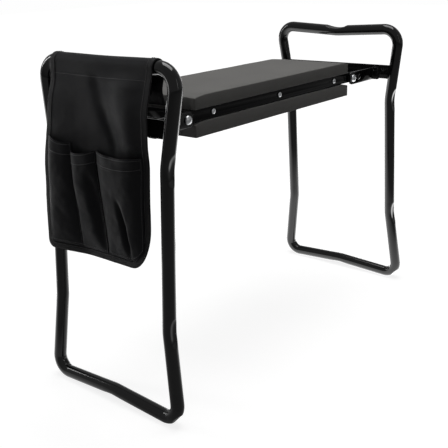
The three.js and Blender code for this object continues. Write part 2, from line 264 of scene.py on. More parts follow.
def newMaterial(name, **sockets):
    material = bpy.data.materials.new(name)
    material.use_nodes = True
    tree = material.node_tree
    shader = tree.nodes["Principled BSDF"]
    for key, value in sockets.items():
        shader.inputs[key.replace("_", " ")].default_value = value
    return material, tree, shader


def blendColours(tree, factor, dark, light):
    mix = addNode(tree, "ShaderNodeMix", {"data_type": "RGBA"})
    mix.inputs[6].default_value = (*dark, 1)
    mix.inputs[7].default_value = (*light, 1)
    tree.links.new(factor, mix.inputs[0])
    return mix.outputs[2]


def wornThrough(tree, colour, worn, mask):
    mix = addNode(tree, "ShaderNodeMix", {"data_type": "RGBA"})
    mix.inputs[7].default_value = (*worn, 1)
    tree.links.new(mask, mix.inputs[0])
    tree.links.new(colour, mix.inputs[6])
    return mix.outputs[2]


def spread(tree, value, low, high, newLow, newHigh):
    node = addNode(tree, "ShaderNodeMapRange")
    for index, limit in enumerate((low, high, newLow, newHigh)):
        node.inputs[index + 1].default_value = limit
    tree.links.new(value, node.inputs[0])
    return node.outputs[0]


def roughFrom(tree, shader, value, smooth, rough):
    tree.links.new(spread(tree, value, 0.3, 0.7, smooth, rough), shader.inputs["Roughness"])


def bumpFrom(tree, shader, height, strength, distance):
    bump = addNode(tree, "ShaderNodeBump", Strength=strength, Distance=distance)
    tree.links.new(height, bump.inputs["Height"])
    tree.links.new(bump.outputs["Normal"], shader.inputs["Normal"])


# black enamel of the tubes, plates and rails: orange peel, a clear top coat, rubbed edges
def blackEnamel(name, coat, specular):
    look = {"dark": (0.0022, 0.0022, 0.0025), "light": (0.005, 0.005, 0.0055),
            "worn": (0.018, 0.018, 0.019)}
    material, tree, shader = newMaterial(name, Coat_Weight=coat, Coat_Roughness=0.03, Coat_IOR=1.22)
    shader.inputs["Specular IOR Level"].default_value = specular
    grain = placeGroup(tree, grainGroup, Fine_Scale=420.0, Broad_Scale=26.0, Fine_Share=0.55)
    wear = placeGroup(tree, wearGroup, Edge_Amount=0.5, Dust_Amount=0.15)
    colour = blendColours(tree, grain.outputs["Broad"], look["dark"], look["light"])
    worn = wornThrough(tree, colour, look["worn"], wear.outputs["Edge"])
    tree.links.new(worn, shader.inputs["Base Color"])
    rough = mathNode(tree, "ADD", spread(tree, grain.outputs["Broad"], 0.3, 0.7, 0.07, 0.13),
                     mathNode(tree, "MULTIPLY", wear.outputs["Dust"], 0.5))
    tree.links.new(rough, shader.inputs["Roughness"])
    bumpFrom(tree, shader, grain.outputs["Height"], 0.12, 0.0004)
    return material


# zinc plated steel of the bolts and rivets
def brightZinc():
    material, tree, shader = newMaterial("brightZinc", Metallic=1.0)
    grain = placeGroup(tree, grainGroup, Fine_Scale=1500.0, Broad_Scale=220.0, Fine_Share=0.5)
    colour = blendColours(tree, grain.outputs["Broad"], (0.34, 0.35, 0.36), (0.6, 0.61, 0.62))
    tree.links.new(colour, shader.inputs["Base Color"])
    roughFrom(tree, shader, grain.outputs["Fine"], 0.22, 0.38)
    bumpFrom(tree, shader, grain.outputs["Height"], 0.15, 0.0003)
    return material


# plain plated steel of the lock nuts, duller than the heads
def dullSteel():
    material, tree, shader = newMaterial("dullSteel", Metallic=1.0)
    grain = placeGroup(tree, grainGroup, Fine_Scale=1200.0, Broad_Scale=160.0, Fine_Share=0.5)
    colour = blendColours(tree, grain.outputs["Broad"], (0.26, 0.26, 0.27), (0.44, 0.44, 0.45))
    tree.links.new(colour, shader.inputs["Base Color"])
    roughFrom(tree, shader, grain.outputs["Fine"], 0.3, 0.5)
    bumpFrom(tree, shader, grain.outputs["Height"], 0.2, 0.0003)
    return material


# closed cell EVA foam: charcoal, matt, with tiny cell pits and faint rub marks
def charcoalFoam():
    look = {"dark": (0.066, 0.0645, 0.062), "light": (0.158, 0.155, 0.148),
            "edge": (0.16, 0.157, 0.15)}
    material, tree, shader = newMaterial("charcoalFoam", Sheen_Weight=0.04, Sheen_Roughness=0.6)
    shader.inputs["Specular IOR Level"].default_value = 0.3
    grain = placeGroup(tree, grainGroup, Fine_Scale=1100.0, Broad_Scale=13.0, Fine_Share=0.8)
    wear = placeGroup(tree, wearGroup, Edge_Amount=0.7, Dust_Amount=0.3)
    place = addNode(tree, "ShaderNodeTexCoord").outputs["Object"]
    cells = addNode(tree, "ShaderNodeTexVoronoi", {"feature": "F1"}, Scale=850.0)
    tree.links.new(place, cells.inputs["Vector"])
    pits = spread(tree, cells.outputs["Distance"], 0.0, 0.45, 0.0, 1.0)
    mottle = mathNode(tree, "ADD", mathNode(tree, "MULTIPLY", grain.outputs["Broad"], 0.75),
                      mathNode(tree, "MULTIPLY", pits, 0.25))
    colour = blendColours(tree, mottle, look["dark"], look["light"])
    edged = wornThrough(tree, colour, look["edge"], wear.outputs["Edge"])
    tree.links.new(edged, shader.inputs["Base Color"])
    roughFrom(tree, shader, grain.outputs["Broad"], 0.78, 0.92)
    height = mathNode(tree, "ADD", mathNode(tree, "MULTIPLY", pits, 0.6),
                      mathNode(tree, "MULTIPLY", grain.outputs["Height"], 0.4))
    bumpFrom(tree, shader, height, 0.3, 0.0004)
    return material


# black nylon of the pouch: oxford weave with a faint sheen
def blackNylonCloth():
    look = {"dark": (0.0078, 0.0078, 0.0088), "light": (0.0145, 0.0145, 0.0165)}
    material, tree, shader = newMaterial("blackNylonCloth", Sheen_Weight=0.03, Sheen_Roughness=0.35)
    shader.inputs["Specular IOR Level"].default_value = 0.1
    weave = placeGroup(tree, weaveGroup, Across=7200.0, Along=7200.0, Slub=0.7)
    colour = blendColours(tree, weave.outputs["Shade"], look["dark"], look["light"])
    tree.links.new(colour, shader.inputs["Base Color"])
    roughFrom(tree, shader, weave.outputs["Shade"], 0.5, 0.66)
    bumpFrom(tree, shader, weave.outputs["Height"], 0.25, 0.0003)
    return material


# ribbed polyester tape that binds the pouch's edges
def blackBindingTape():
    material, tree, shader = newMaterial("blackBindingTape", Sheen_Weight=0.05, Sheen_Roughness=0.5)
    shader.inputs["Specular IOR Level"].default_value = 0.2
    weave = placeGroup(tree, weaveGroup, Across=4200.0, Along=2600.0, Slub=0.5)
    look = {"dark": (0.0035, 0.0035, 0.0042), "light": (0.0075, 0.0075, 0.0085)}
    colour = blendColours(tree, weave.outputs["Shade"], look["dark"], look["light"])
    tree.links.new(colour, shader.inputs["Base Color"])
    roughFrom(tree, shader, weave.outputs["Shade"], 0.6, 0.75)
    bumpFrom(tree, shader, weave.outputs["Height"], 0.4, 0.0005)
    return material


# sewing thread, a shade lighter than the cloth
def sewingThread():
    material, tree, shader = newMaterial("sewingThread", Sheen_Weight=0.1, Sheen_Roughness=0.4)
    grain = placeGroup(tree, grainGroup, Fine_Scale=3000.0, Broad_Scale=200.0, Fine_Share=0.5)
    colour = blendColours(tree, grain.outputs["Fine"], (0.02, 0.02, 0.022), (0.045, 0.045, 0.048))
    tree.links.new(colour, shader.inputs["Base Color"])
    roughFrom(tree, shader, grain.outputs["Broad"], 0.45, 0.6)
    bumpFrom(tree, shader, grain.outputs["Height"], 0.3, 0.0002)
    return material


# moulded nylon of the hinge washers
def blackMouldedNylon():
    material, tree, shader = newMaterial("blackMouldedNylon")
    grain = placeGroup(tree, grainGroup, Fine_Scale=1400.0, Broad_Scale=120.0, Fine_Share=0.7)
    colour = blendColours(tree, grain.outputs["Broad"], (0.012, 0.012, 0.012), (0.026, 0.026, 0.027))
    tree.links.new(colour, shader.inputs["Base Color"])
    roughFrom(tree, shader, grain.outputs["Broad"], 0.38, 0.52)
    bumpFrom(tree, shader, grain.outputs["Height"], 0.2, 0.0003)
    return material


# dark stained plywood of the hidden board: long grain and edge plies
def stainedPly():
    material, tree, shader = newMaterial("stainedPly")
    place = addNode(tree, "ShaderNodeTexCoord").outputs["Object"]
    stretch = addNode(tree, "ShaderNodeMapping")
    stretch.inputs["Scale"].default_value = (6.0, 90.0, 420.0)
    tree.links.new(place, stretch.inputs["Vector"])
    fibre = noiseNode(tree, stretch.outputs[0], 1.0, 6.0, 0.6)
    colour = blendColours(tree, fibre, (0.008, 0.0065, 0.005), (0.024, 0.018, 0.013))
    tree.links.new(colour, shader.inputs["Base Color"])
    roughFrom(tree, shader, fibre, 0.6, 0.8)
    bumpFrom(tree, shader, fibre, 0.3, 0.0004)
    return material


enamel = blackEnamel("glossBlackEnamel", 0.3, 0.3)
railEnamel = blackEnamel("railBlackEnamel", 0.06, 0.1)     # thinner coat on the pressed rails
zinc = brightZinc()
nutSteel = dullSteel()
foam = charcoalFoam()
cloth = blackNylonCloth()
tape = blackBindingTape()
thread = sewingThread()
washerNylon = blackMouldedNylon()
ply = stainedPly()
print("materials made:", len(bpy.data.materials))


# Geometry Nodes: copies of a small template set on points, or in a row along paths

def setInputs(modifier, values):
    for item in modifier.node_group.interface.items_tree:
        if item.item_type == "SOCKET" and item.in_out == "INPUT" and item.name in values:
            modifier[item.identifier] = values[item.name]


def rowTree(name, onPoints):
    tree = bpy.data.node_groups.new(name, "GeometryNodeTree")
    face = tree.interface
    face.new_socket("Geometry", in_out="INPUT", socket_type="NodeSocketGeometry")
    for label, kind in (("Template", "NodeSocketObject"), ("Finish", "NodeSocketMaterial"),
                        ("Spacing", "NodeSocketFloat"), ("Size", "NodeSocketFloat"),
                        ("Size Change", "NodeSocketFloat"), ("Seed", "NodeSocketInt")):
        face.new_socket(label, in_out="INPUT", socket_type=kind)
    face.new_socket("Geometry", in_out="OUTPUT", socket_type="NodeSocketGeometry")
    start = tree.nodes.new("NodeGroupInput")
    finish = tree.nodes.new("NodeGroupOutput")
    link = tree.links.new
    info = tree.nodes.new("GeometryNodeObjectInfo")
    link(start.outputs["Template"], info.inputs["Object"])
    copies = tree.nodes.new("GeometryNodeInstanceOnPoints")
    link(info.outputs["Geometry"], copies.inputs["Instance"])
    if onPoints:
        turn = tree.nodes.new("GeometryNodeInputNamedAttribute")
        turn.data_type = "FLOAT_VECTOR"
        turn.inputs["Name"].default_value = "turn"
        link(start.outputs["Geometry"], copies.inputs["Points"])
        link(turn.outputs[0], copies.inputs["Rotation"])
    else:
        toCurve = tree.nodes.new("GeometryNodeMeshToCurve")
        toPoints = tree.nodes.new("GeometryNodeCurveToPoints")
        toPoints.mode = "LENGTH"
        link(start.outputs["Geometry"], toCurve.inputs["Mesh"])
        link(toCurve.outputs["Curve"], toPoints.inputs["Curve"])
        link(start.outputs["Spacing"], toPoints.inputs["Length"])
        link(toPoints.outputs["Points"], copies.inputs["Points"])
        link(toPoints.outputs["Rotation"], copies.inputs["Rotation"])
    chance = tree.nodes.new("FunctionNodeRandomValue")
    low = tree.nodes.new("ShaderNodeMath")
    high = tree.nodes.new("ShaderNodeMath")
    low.operation, high.operation = "SUBTRACT", "ADD"
    for node in (low, high):
        link(start.outputs["Size"], node.inputs[0])
        link(start.outputs["Size Change"], node.inputs[1])
    link(low.outputs[0], chance.inputs[2])
    link(high.outputs[0], chance.inputs[3])
    link(start.outputs["Seed"], chance.inputs["Seed"])
    link(chance.outputs[1], copies.inputs["Scale"])
    real = tree.nodes.new("GeometryNodeRealizeInstances")
    coat = tree.nodes.new("GeometryNodeSetMaterial")
    link(copies.outputs["Instances"], real.inputs["Geometry"])
    link(real.outputs["Geometry"], coat.inputs["Geometry"])
    link(start.outputs["Finish"], coat.inputs["Material"])
    link(coat.outputs["Geometry"], finish.inputs["Geometry"])
    return tree


alongPaths = rowTree("rowAlongPaths", False)
onPoints = rowTree("copiesOnPoints", True)


def growCopies(obj, tree, template, material, spacing=0.004, size=1.0, change=0.0, seed=3):
    modifier = obj.modifiers.new("copies", "NODES")
    modifier.node_group = tree
    setInputs(modifier, {"Template": template, "Finish": material, "Spacing": spacing, "Size": size,
                         "Size Change": change, "Seed": seed})
    applyModifiers(obj)
    bpy.data.objects.remove(template)
    return sharpen(obj, 40)


# paths is a list of point lists; the template's Z axis runs along the path
def rowAlong(name, paths, template, material, **values):
    mesh = bpy.data.meshes.new(name)
    verts, edges = [], []
    for path in paths:
        first = len(verts)
        verts += [tuple(p) for p in path]
        edges += [(first + i, first + i + 1) for i in range(len(path) - 1)]
    mesh.from_pydata(verts, edges, [])
    obj = bpy.data.objects.new(name, mesh)
    scene.collection.objects.link(obj)
    return growCopies(obj, alongPaths, template, material, **values)


# placements is a list of (point, turn about X): a head drawn along +Z faces -Y at +90 degrees
def copiesAt(name, placements, template, material, **values):
    mesh = bpy.data.meshes.new(name)
    mesh.from_pydata([tuple(point) for point, _ in placements], [], [])
    turn = mesh.attributes.new("turn", "FLOAT_VECTOR", "POINT")
    turn.data.foreach_set("vector", [v for _, angle in placements for v in (angle, 0.0, 0.0)])
    obj = bpy.data.objects.new(name, mesh)
    scene.collection.objects.link(obj)
    return growCopies(obj, onPoints, template, material, **values)


def roundAbout(radius, angle, z):
    return radius * math.cos(angle), radius * math.sin(angle), z


# a profile of (radius, height) pairs turned about Z
def turned(name, profile, count=28):
    rings = [(r, z) for r, z in profile if r > 0]
    verts = [roundAbout(r, 2 * math.pi * k / count, z) for r, z in rings for k in range(count)]
    faces = gridFaces(len(rings), count, closeColumns=True)
    lastRing = range((len(rings) - 1) * count, len(rings) * count)
    for index, ring in ((0, range(count)), (-1, lastRing)):
        if profile[index][0] == 0:
            verts.append((0, 0, profile[index][1]))
            ring = list(ring)
            faces += [(ring[k], ring[(k + 1) % count], len(verts) - 1) for k in range(count)]
    return turnOutwards(newObject(name, verts, faces))


def capsule(name, length, radius, sidesRound=6):
    half = length / 2
    profile = [(0, -half), (radius * 0.7, -half + radius * 0.3), (radius, -half + radius),
               (radius, half - radius), (radius * 0.7, half - radius * 0.3), (0, half)]
    return turned(name, profile, sidesRound)


# Camera, light and floor

view = {"place": (-0.94075, -0.73857, 0.5924), "yaw": 50.107, "pitch": -19.062, "roll": -1.811,
        "lens": 60.14}


def aimCamera():
    yaw, pitch, roll = (math.radians(view[key]) for key in ("yaw", "pitch", "roll"))
    flat = math.cos(pitch)
    forward = Vector((math.sin(yaw) * flat, math.cos(yaw) * flat, math.sin(pitch)))
    level = Vector((math.cos(yaw), -math.sin(yaw), 0))
    upright = level.cross(forward)
    across = level * math.cos(roll) + upright * math.sin(roll)
    up = upright * math.cos(roll) - level * math.sin(roll)
    data = bpy.data.cameras.new("studioCamera")
    data.lens = view["lens"]
    data.sensor_width = 36
    data.clip_end = 60
    camera = bpy.data.objects.new("studioCamera", data)
    turn = Matrix((across, up, -forward)).transposed().to_4x4()
    camera.matrix_world = Matrix.Translation(view["place"]) @ turn
    scene.collection.objects.link(camera)
    scene.camera = camera


def softbox(name, place, aim, size, watts):
    data = bpy.data.lights.new(name, "AREA")
    data.shape = "RECTANGLE"
    data.size, data.size_y = size
    data.energy = watts
    light = bpy.data.objects.new(name, data)
    light.location = place
    light.rotation_euler = (Vector(aim) - Vector(place)).to_track_quat("-Z", "Y").to_euler()
    scene.collection.objects.link(light)


def setStudio():
    look = {"backdrop": 0.95, "mirrored": 0.35, "fill": 0.04, "floor": 0.3, "glow": 0.84,
            "edgeLight": 2.6, "nearLight": 0.15}
    world = bpy.data.worlds.new("paleStudio")
    world.use_nodes = True
    tree = world.node_tree
    seen = addNode(tree, "ShaderNodeLightPath")
    direct = mathNode(tree, "MULTIPLY", seen.outputs["Is Camera Ray"], look["backdrop"])
    inGloss = mathNode(tree, "MULTIPLY", seen.outputs["Is Glossy Ray"], look["mirrored"])
    sky = mathNode(tree, "ADD", direct, inGloss)
    background = tree.nodes["Background"]
    background.inputs["Color"].default_value = (1, 1, 1, 1)
    tree.links.new(mathNode(tree, "ADD", sky, look["fill"]), background.inputs["Strength"])
    scene.world = world
    softbox("overheadBox", (0.2, 0.05, 2.7), (0.05, 0, 0.3), (1.7, 1.5), 47)
    softbox("frontStrip", (-0.35, -2.4, 1.3), (0, 0, 0.3), (0.12, 1.6), 2.5)
    softbox("leftStrip", (-1.05, 2.6, 1.3), (-0.3, 0, 0.35), (0.3, 1.4), 16)
    floor = newObject("studioFloor", [(-9, -9, 0), (9, -9, 0), (9, 9, 0), (-9, 9, 0)], [(0, 1, 2, 3)])
    material, tree, shader = newMaterial("paleFloor", Roughness=0.9, Emission_Strength=1.0)
    shader.inputs["Specular IOR Level"].default_value = 0.05
    grain = placeGroup(tree, grainGroup, Fine_Scale=60.0, Broad_Scale=2.0, Fine_Share=0.5)
    darker, lighter = (look["floor"] - 0.01,) * 3, (look["floor"] + 0.01,) * 3
    shade = blendColours(tree, grain.outputs["Broad"], darker, lighter)
    tree.links.new(shade, shader.inputs["Base Color"])
    seen = addNode(tree, "ShaderNodeLightPath")
    split = addNode(tree, "ShaderNodeSeparateXYZ")
    tree.links.new(addNode(tree, "ShaderNodeTexCoord").outputs["Object"], split.inputs[0])
    across = mathNode(tree, "ADD", mathNode(tree, "MULTIPLY", split.outputs["X"], 0.79),
                      mathNode(tree, "MULTIPLY", split.outputs["Y"], 0.62))
    squares = [mathNode(tree, "MULTIPLY", split.outputs[axis], split.outputs[axis])
               for axis in ("X", "Y")]
    away = mathNode(tree, "SQRT", mathNode(tree, "ADD", *squares))
    brighter = spread(tree, away, 0.6, 1.8, look["glow"], 1.0)
    glow = mathNode(tree, "MULTIPLY", seen.outputs["Is Camera Ray"], brighter)
    # for glossy rays the floor glows, most of all beyond the object: a painted reflection that lays
    # light lines along the tubes' edges, with a faint painted reflection over the rest of the floor
    beyond = mathNode(tree, "MULTIPLY", spread(tree, across, -0.3, 0.15, 0.0, look["edgeLight"]),
                      spread(tree, split.outputs["Y"], -0.6, -0.42, 0.0, 1.0))
    inMirror = mathNode(tree, "ADD", beyond, look["nearLight"])
    mirrored = mathNode(tree, "MULTIPLY", seen.outputs["Is Glossy Ray"], inMirror)
    tree.links.new(mathNode(tree, "ADD", glow, mirrored), shader.inputs["Emission Color"])
    below = addNode(tree, "ShaderNodeNewGeometry").outputs["Backfacing"]
    tree.links.new(mathNode(tree, "SUBTRACT", 1.0, below), shader.inputs["Alpha"])   # clear from below
    paint(floor, material)
    scene.view_settings.view_transform = "Standard"


aimCamera()
setStudio()
print("studio set")


# Leg loops: one bent tube each, swept in the leg's own leaning plane

leg = {"radius": 9.5, "splay": math.atan(0.068), "footX": 316.13, "footHeight": 8.12, "run": 471.97,
       "handDip": 6.5, "footRise": 6.5, "dentDepth": 2.7, "middleDent": 1.2, "dentLength": 42,
       "wrinkle": 0.7, "footPinch": 3.4, "sides": 40}


# y across the object, up along the leaning leg, out from the seat; millimetres in, metres out
def legPoint(end, y, up, out):
    s, c = math.sin(leg["splay"]), math.cos(leg["splay"])
    x = leg["footX"] + out * c - up * s
    z = leg["footHeight"] + out * s + up * c
    return Vector((end * x, y, z)) * mm


def roundedLine(corners):
    points = []
    for k, (point, radius) in enumerate(corners):
        before, after = corners[k - 1][0], corners[(k + 1) % len(corners)][0]
        a, b = (before - point).normalized(), (after - point).normalized()
        half = a.angle(b) / 2
        centre = point + (a + b).normalized() * radius / math.sin(half)
        first, last = point + a * radius / math.tan(half), point + b * radius / math.tan(half)
        turn = math.pi - 2 * half
        count = max(3, int(radius * turn / 2.0))
        start, side = first - centre, last - centre
        for j in range(count + 1):
            t = j / count
            towardsStart = start * math.sin((1 - t) * turn) / math.sin(turn)
            towardsSide = side * math.sin(t * turn) / math.sin(turn)
            points.append(centre + (towardsStart + towardsSide))
    return points


def loopLine():
    run = leg["run"]
    side = [((125.8, run), 25), ((107.5, 346.7), 70), ((109.5, 127.7), 70), ((126.5, 0), 22)]
    far = [(Vector(p), r) for p, r in side]
    near = [(Vector((-p[0], p[1])), r) for p, r in reversed(side)]
    corners = [(Vector((0, run - leg["handDip"])), 60), *far, (Vector((0, leg["footRise"])), 60), *near]
    return roundedLine(corners)


def evenStations(points, dents):
    lengths = [0.0]
    for k in range(len(points)):
        lengths.append(lengths[-1] + (points[(k + 1) % len(points)] - points[k]).length)
    total = lengths[-1]
    stations, s, k = [], 0.0, 0
    while s < total - 0.4:
        while lengths[k + 1] < s:
            k += 1
        t = (s - lengths[k]) / max(lengths[k + 1] - lengths[k], 1e-6)
        point = points[k].lerp(points[(k + 1) % len(points)], t)
        near = min((point - dent).length for dent in dents)
        stations.append(point)
        s += 1.2 if near < 28 else 2.4
    return stations


def buildLoop(name, end):
    dents = [Vector(p) for p in ((0, leg["run"] - 6.5), (0, 6.5), (107.5, 346.7), (-107.5, 346.7),
                                 (109.5, 127.7), (-109.5, 127.7))]
    feet = [Vector((120.1, 6.4)), Vector((-120.1, 6.4))]
    stations = evenStations(loopLine(), dents + feet)
    middle = Vector((0, leg["run"] / 2))
    radius, count = leg["radius"], leg["sides"]
    verts = []
    for k, point in enumerate(stations):
        ahead, behind = stations[(k + 1) % len(stations)], stations[k - 1]
        tangent = (ahead - behind).normalized()
        outward = Vector((tangent.y, -tangent.x))
        if outward.dot(point - middle) < 0:
            outward = -outward
        gap = min((point - dent).length for dent in dents) / (leg["dentLength"] / 2)
        depth = leg["dentDepth"] + (leg["middleDent"] if abs(point.x) < 40 else 0)
        press = depth * (1 - gap ** 3) if gap < 1 else 0.0
        foot = min((point - corner).length for corner in feet)
        if foot < 9:
            press = leg["footPinch"] * (1 - (foot / 9) ** 2)
        for j in range(count):
            angle = 2 * math.pi * j / count
            v, w = radius * math.cos(angle), radius * math.sin(angle)
            if press > 0:
                limit = radius - press
                v = -0.45 * math.log(math.exp(-v / 0.45) + math.exp(-limit / 0.45))
                w *= 1 + 0.02 * press / leg["dentDepth"]
                facingOut = smoothStep(0.2, 0.9, math.cos(angle))
                v -= 0.8 * (press / leg["dentDepth"]) * bell(w, 4.5) * facingOut
            if foot < 26 and v < 0:
                crease = math.sin(foot * 0.75 + 0.12 * point.x) * bell(foot, 13)
                v += leg["wrinkle"] * crease * (-v / radius) ** 2
            place = point + outward * v
            verts.append(legPoint(end, place.x, place.y, w))
    faces = gridFaces(len(stations), count, closeRows=True, closeColumns=True)
    return turnOutwards(newObject(name, verts, faces))


for side, end in ends.items():
    loop = buildLoop(f"{side}_leg_tube", end)
    sharpen(loop, 48)
    paint(loop, enamel)
    settle(loop, f"{side}_leg", [f"leg_loop_{side}"])
print("leg tubes bent")


# Flat steel and the board: the CAD's plates with rounded edges

for side in ends:
    roundedCopy(f"crossbar_{side}", f"{side}_crossbar", f"{side}_leg", enamel, 0.6 * mm)
    roundedCopy(f"end_tie_{side}", f"{side}_end_tie", "seat", enamel, 0.4 * mm)
    for face in sides:
        roundedCopy(f"hinge_arm_{side}_{face}", f"{side}_hinge_arm_{face}", f"{side}_leg", enamel,
                    0.4 * mm)
for face in sides:
    roundedCopy(f"side_rail_{face}", f"side_rail_{face}_pressed", "seat", railEnamel,
                0.5 * mm)
roundedCopy("seat_board", "seat_board_sanded", "seat", ply, 0.8 * mm)
print("plates finished")


# Bolts, rivets, washers, nuts and stop pins, set on points

fastener = {"pivotX": 215, "pivotZ": 400, "rivetX": (-158, 0, 158), "rivetZ": 402.3, "pinX": 234.5}


def domed(name, radius, height, shank, depth, recess=0.0):
    profile = [(0, -depth), (shank, -depth), (shank, 0), (radius * 0.96, 0), (radius, 0.12 * height),
               (radius, 0.32 * height), (radius * 0.93, 0.52 * height), (radius * 0.8, 0.74 * height),
               (radius * 0.62, 0.9 * height), (radius * 0.45, 0.985 * height), (radius * 0.36, height),
               (radius * 0.28, height - recess), (0, height - recess * 1.1)]
    return turned(name, [(r * mm, z * mm) for r, z in profile])


def ring(name, inner, outer, low, high, count=32):
    edge = 0.12 * (high - low)
    profile = [(inner, low + edge), (inner + edge, low), (outer - edge, low), (outer, low + edge),
               (outer, high - edge), (outer - edge, high), (inner + edge, high), (inner, high - edge)]
    verts = [roundAbout(r * mm, 2 * math.pi * k / count, z * mm)
             for r, z in profile for k in range(count)]
    faces = gridFaces(len(profile), count, closeRows=True, closeColumns=True)
    return turnOutwards(newObject(name, verts, faces))


# a lock nut: hexagon with chamfered corners, a nylon collar rounding its outer face
def hexNut(name, flats, bore, height):
    count = 48
    angles = [2 * math.pi * k / count for k in range(count)]
    corner = flats / math.cos(math.pi / 6)
    hexagon = [flats / math.cos((a + math.pi / 6) % (math.pi / 3) - math.pi / 6) for a in angles]
    rows = []
    for z, cap in ((0.0, 0.96), (0.08, 1.0), (0.72, 1.0), (0.8, 0.97)):
        rows.append((z, [min(r, corner * cap) for r in hexagon]))
    collar = ((flats * 0.88, 0.83), (flats * 0.86, 0.95), (flats * 0.78, 1.0), (bore, 1.0), (bore, 0.0))
    rows += [(z, [radius] * count) for radius, z in collar]
    verts = [roundAbout(r * mm, a, z * height * mm) for z, row in rows for r, a in zip(row, angles)]
    faces = gridFaces(len(rows), count, closeRows=True, closeColumns=True)
    return turnOutwards(newObject(name, verts, faces))


def facing(xs, z, depth):
    quarter = math.pi / 2
    return [(Vector((x, sign * depth, z)) * mm, quarter if sign < 0 else -quarter)
            for x in xs for sign in sides.values()]


def inward(placements):
    return [(point, -angle) for point, angle in placements]


pivots = (-fastener["pivotX"], fastener["pivotX"])
heads = copiesAt("pivot_bolts", facing(pivots, fastener["pivotZ"], 75.6),
                 domed("bolt_template", 6.3, 4.0, 3.9, 14.9, 0.7), zinc)
settle(heads, "seat", [f"pivot_bolt_{e}_{f}" for e in ends for f in sides])
rivets = copiesAt("rail_rivets", facing(fastener["rivetX"], fastener["rivetZ"], 71.5),
                  domed("rivet_template", 4.2, 2.2, 2.0, 10.8, 0.0), zinc)
settle(rivets, "seat", [f"side_rivet_{f}_{k}" for f in sides for k in (1, 2, 3)])
washers = copiesAt("pivot_washers", facing(pivots, fastener["pivotZ"], 71.5),
                   ring("washer_template", 4.2, 9.0, 0.0, 1.0), washerNylon)
settle(washers, "seat", [f"pivot_washer_{e}_{f}" for e in ends for f in sides])
nuts = copiesAt("lock_nuts", inward(facing(pivots, fastener["pivotZ"], 68.7)),
                hexNut("nut_template", 6.06, 4.1, 6.0), nutSteel)
settle(nuts, "seat", [f"lock_nut_{e}_{f}" for e in ends for f in sides])
for side, end in ends.items():
    pins = copiesAt(f"{side}_stop_pins", facing((end * fastener["pinX"],), fastener["pivotZ"], 75.6),
                    domed("pin_template", 4.4, 1.8, 3.0, 7.6, 0.0), enamel)
    settle(pins, f"{side}_leg", [f"stop_pin_{side}_{f}" for f in sides])
print("fasteners set")


# Weld beads where the crossbars meet the tubes and the arm tabs

weld = {"radius": 1.35, "length": 1.5, "spacing": 0.0013, "low": 391.8, "high": 414.8,
        "barFaces": (287.9, 290.5), "tabSide": 286.9, "tabTop": 287.1}


def tubeSide(height):
    up = (height - leg["footHeight"]) / math.cos(leg["splay"])
    along = (up - 346.7) / (leg["run"] - 346.7)
    return 107.5 + along * (125.8 - 107.5) - leg["radius"] / math.cos(math.atan(18.3 / 125.3))


for side, end in ends.items():
    paths = []
    for sign in sides.values():
        for x in weld["barFaces"]:
            heights = [weld["low"] + k * (weld["high"] - weld["low"]) / 12 for k in range(13)]
            reach = [min(tubeSide(z) - 0.1, 106.9) for z in heights]
            paths.append([Vector((end * x, sign * y, z)) * mm for y, z in zip(reach, heights)])
        paths.append([Vector((end * weld["tabSide"], sign * 85.5, z)) * mm for z in range(391, 411)])
        paths.append([Vector((end * weld["tabTop"], sign * y, 410.8)) * mm for y in range(75, 86)])
    oneRipple = capsule("bead_template", weld["length"] * mm, weld["radius"] * mm, 10)
    bead = rowAlong(f"{side}_weld_beads", paths, oneRipple, enamel, spacing=weld["spacing"], size=0.95,
                    change=0.12, seed=11)
    settle(bead, f"{side}_leg")
print("welds laid")


# Foam pads: cut blocks with eased edges that sag a little at their free ends

pad = {"corner": 1.8, "edge": 0.9, "droop": 2.6, "reach": 26, "uneven": 0.25}


def blockWithin(low, high, corner, edge):
    work = bmesh.new()
    bmesh.ops.create_cube(work, size=1)
    for v in work.verts:
        v.co = Vector([low[k] + (v.co[k] + 0.5) * (high[k] - low[k]) for k in range(3)])
    upright = [e for e in work.edges if abs(e.verts[0].co.z - e.verts[1].co.z) > 1e-6]
    bmesh.ops.bevel(work, geom=upright, offset=corner, segments=5, profile=0.5, affect="EDGES")
    rims = [e for e in work.edges if abs(e.verts[0].co.z - e.verts[1].co.z) < 1e-6]
    bmesh.ops.bevel(work, geom=rims, offset=edge, segments=3, profile=0.5, affect="EDGES")
    return work


def cutAcross(work, axis, places):
    normal = [0, 0, 0]
    normal[axis] = 1
    for place in places:
        point = [0, 0, 0]
        point[axis] = place
        geometry = list(work.verts) + list(work.edges) + list(work.faces)
        bmesh.ops.bisect_plane(work, geom=geometry, plane_co=point, plane_no=normal, dist=1e-7)


def buildPad(node, name, seed):
    low, high = (Vector(corner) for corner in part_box(node))
    work = blockWithin(low, high, pad["corner"] * mm, pad["edge"] * mm)
    # closer together at the ends, where the pad sags
    cutsAlong = [*range(-192, -150, 6), *range(-150, 151, 15), *range(156, 196, 6)]
    cutAcross(work, 0, [x * mm for x in cutsAlong])
    cutAcross(work, 1, [y * mm for y in range(-66, 67, 11)])
    reach, drop = pad["reach"] * mm, pad["droop"] * mm
    for v in work.verts:
        toEnd = (abs(v.co.x) - (high.x - reach)) / reach
        sag = max(toEnd, 0) ** 2 * drop
        toSide = max((abs(v.co.y) - (high.y - reach)) / reach, 0)
        share = 1.0 if v.co.z > (low.z + high.z) / 2 else 0.25     # the upper face gives most
        v.co.z -= (sag + toSide ** 2 * 0.25 * drop) * share
        shift = noise.noise_vector(Vector((v.co.x * 28, v.co.y * 28, v.co.z * 28 + seed)))
        v.co += shift * pad["uneven"] * mm
        v.co.z = max(v.co.z, low.z)
    mesh = bpy.data.meshes.new(name)
    work.to_mesh(mesh)
    work.free()
    obj = bpy.data.objects.new(name, mesh)
    scene.collection.objects.link(obj)
    sharpen(obj, 40)
    paint(obj, foam)
    settle(obj, "seat", [node])
    return obj


